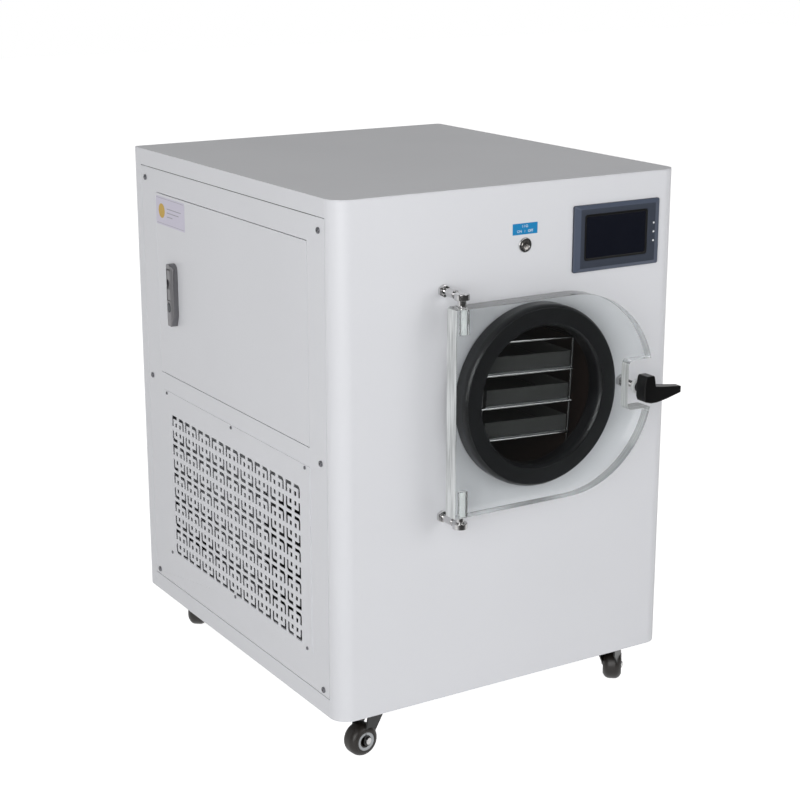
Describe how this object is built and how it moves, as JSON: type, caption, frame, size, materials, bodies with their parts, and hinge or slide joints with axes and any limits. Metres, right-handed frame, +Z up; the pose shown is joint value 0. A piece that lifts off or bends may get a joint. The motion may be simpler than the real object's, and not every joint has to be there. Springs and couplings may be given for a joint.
{
  "type": "freeze dryer",
  "caption": "Floor-standing vacuum freeze dryer: white sheet-steel cabinet on casters with a round chamber, clear hinged door and touch screen.",
  "frame": {"origin": "middle of the bounding box at floor level, under the casters", "axes": "+Z up, -Y out of the front with the chamber door, +X to the right seen from the front"},
  "size_m": [0.6154, 0.791, 0.842],
  "materials": {
    "white_enamel": "fine satin powder coat",
    "grey_primer": "satin grey paint",
    "stainless": "polished stainless steel",
    "zinc_casting": "satin zinc casting",
    "nickel": "bright nickel plate",
    "sheet_zinc": "plain satin",
    "dark_steel": "matt dark coat",
    "black_rubber": "smooth moulded rubber",
    "clear_acrylic": "polished cast acrylic",
    "nylon": "natural nylon",
    "black_plastic": "moulded black plastic",
    "grey_blue_plastic": "satin grey-blue plastic",
    "screen_glass": "gloss black touch glass",
    "lamp_white": "milky light pipe",
    "dark_blue_plastic": "gloss dark blue plastic",
    "copper": "drawn copper tube",
    "black_enamel": "semi-gloss black enamel",
    "tyre_rubber": "brown-black tread rubber"
  },
  "bodies": {
    "cabinet": {"base_pan": "white_enamel", "front_panel": "white_enamel", "top_panel": "white_enamel", "rear_panel": "white_enamel", "left_panel": "white_enamel", "right_panel": "white_enamel", "left_vent": "white_enamel", "right_vent": "white_enamel", "inner_frame": "grey_primer", "panel_screws": "nickel", "vent_screws": "white_enamel", "service_hinge_pins": "nickel", "screen_frame": "grey_blue_plastic", "screen_glass": "screen_glass", "status_lights": "lamp_white", "button_ring": "nickel", "chamber_drum": "stainless", "cooling_coil": "copper", "gasket": "black_rubber", "hinge_nuts": "nickel", "hinge_eyes": "nickel", "clamp_stud": "nickel", "clamp_nut": "nickel", "clamp_washer": "nylon", "wire_rack": "nickel", "shelf_plates": "sheet_zinc", "tray_1": "dark_steel", "tray_2": "dark_steel", "tray_3": "dark_steel", "compressor": "black_enamel", "condenser": "sheet_zinc", "fan_shroud": "black_plastic", "control_board": "sheet_zinc", "vacuum_port": "nickel", "drain_spigot": "nickel", "power_inlet": "black_plastic", "caster_plates": "black_enamel"},
    "chamber_door": {"door_plate": "clear_acrylic", "hinge_pins": "nickel", "hinge_bushes": "nylon"},
    "clamp_knob": {"clamp_knob": "black_plastic"},
    "service_door": {"service_door": "white_enamel", "lock_body": "zinc_casting"},
    "lock_paddle": {"lock_paddle": "zinc_casting"},
    "lock_button": {"lock_button": "dark_blue_plastic"},
    "button_cap": {"button_cap": "nickel"},
    "fan_rotor": {"fan_rotor": "black_plastic"},
    "caster_1_swivel": {"caster_1_fork": "black_enamel", "caster_1_axle": "nickel"},
    "caster_1_wheel": {"caster_1_wheel": "tyre_rubber"},
    "caster_2_swivel": {"caster_2_fork": "black_enamel", "caster_2_axle": "nickel"},
    "caster_2_wheel": {"caster_2_wheel": "tyre_rubber"},
    "caster_3_swivel": {"caster_3_fork": "black_enamel", "caster_3_axle": "nickel"},
    "caster_3_wheel": {"caster_3_wheel": "tyre_rubber"},
    "caster_4_swivel": {"caster_4_fork": "black_enamel", "caster_4_axle": "nickel"},
    "caster_4_wheel": {"caster_4_wheel": "tyre_rubber"}
  },
  "joints": [
    {"name": "chamber_door_hinge", "type": "hinge", "parent": "cabinet", "child": "chamber_door", "pos_m": [-0.11999, -0.3585, 0.532], "axis": [0, 0, -1], "range_deg": [0, 120]},
    {"name": "clamp_turn", "type": "hinge", "parent": "cabinet", "child": "clamp_knob", "pos_m": [0.19481, -0.3845, 0.5285], "axis": [0, 1, 0], "range_deg": [0, 180]},
    {"name": "service_door_hinge", "type": "hinge", "parent": "cabinet", "child": "service_door", "pos_m": [-0.29019, -0.2195, 0.626], "axis": [0, 0, 1], "range_deg": [0, 100]},
    {"name": "lock_paddle_hinge", "type": "hinge", "parent": "service_door", "child": "lock_paddle", "pos_m": [-0.30409, 0.2155, 0.6575], "axis": [0, 1, 0], "range_deg": [0, 35]},
    {"name": "lock_button_slide", "type": "slide", "parent": "service_door", "child": "lock_button", "axis": [1, 0, 0], "range_m": [0, 0.0025], "stiffness_N_per_m": 300},
    {"name": "power_button_slide", "type": "slide", "parent": "cabinet", "child": "button_cap", "axis": [0, 1, 0], "range_m": [0, 0.002], "stiffness_N_per_m": 300},
    {"name": "fan_spin", "type": "hinge", "parent": "cabinet", "child": "fan_rotor", "pos_m": [0.20481, 0.0265, 0.204], "axis": [1, 0, 0], "continuous": true},
    {"name": "caster_1_turn", "type": "hinge", "parent": "cabinet", "child": "caster_1_swivel", "pos_m": [-0.22319, -0.2715, 0.066], "axis": [0, 0, 1], "continuous": true},
    {"name": "caster_1_roll", "type": "hinge", "parent": "caster_1_swivel", "child": "caster_1_wheel", "pos_m": [-0.24186, -0.27867, 0.025], "axis": [0.3584, -0.9336, 0], "continuous": true},
    {"name": "caster_2_turn", "type": "hinge", "parent": "cabinet", "child": "caster_2_swivel", "pos_m": [0.23281, -0.2715, 0.066], "axis": [0, 0, 1], "continuous": true},
    {"name": "caster_2_roll", "type": "hinge", "parent": "caster_2_swivel", "child": "caster_2_wheel", "pos_m": [0.24907, -0.25986, 0.025], "axis": [-0.5821, 0.8131, 0], "continuous": true},
    {"name": "caster_3_turn", "type": "hinge", "parent": "cabinet", "child": "caster_3_swivel", "pos_m": [-0.22319, 0.3225, 0.066], "axis": [0, 0, 1], "continuous": true},
    {"name": "caster_3_roll", "type": "hinge", "parent": "caster_3_swivel", "child": "caster_3_wheel", "pos_m": [-0.23132, 0.30423, 0.025], "axis": [0.9135, -0.4067, 0], "continuous": true},
    {"name": "caster_4_turn", "type": "hinge", "parent": "cabinet", "child": "caster_4_swivel", "pos_m": [0.23281, 0.3225, 0.066], "axis": [0, 0, 1], "continuous": true},
    {"name": "caster_4_roll", "type": "hinge", "parent": "caster_4_swivel", "child": "caster_4_wheel", "pos_m": [0.22436, 0.34063, 0.025], "axis": [-0.9063, -0.4226, 0], "continuous": true}
  ]
}
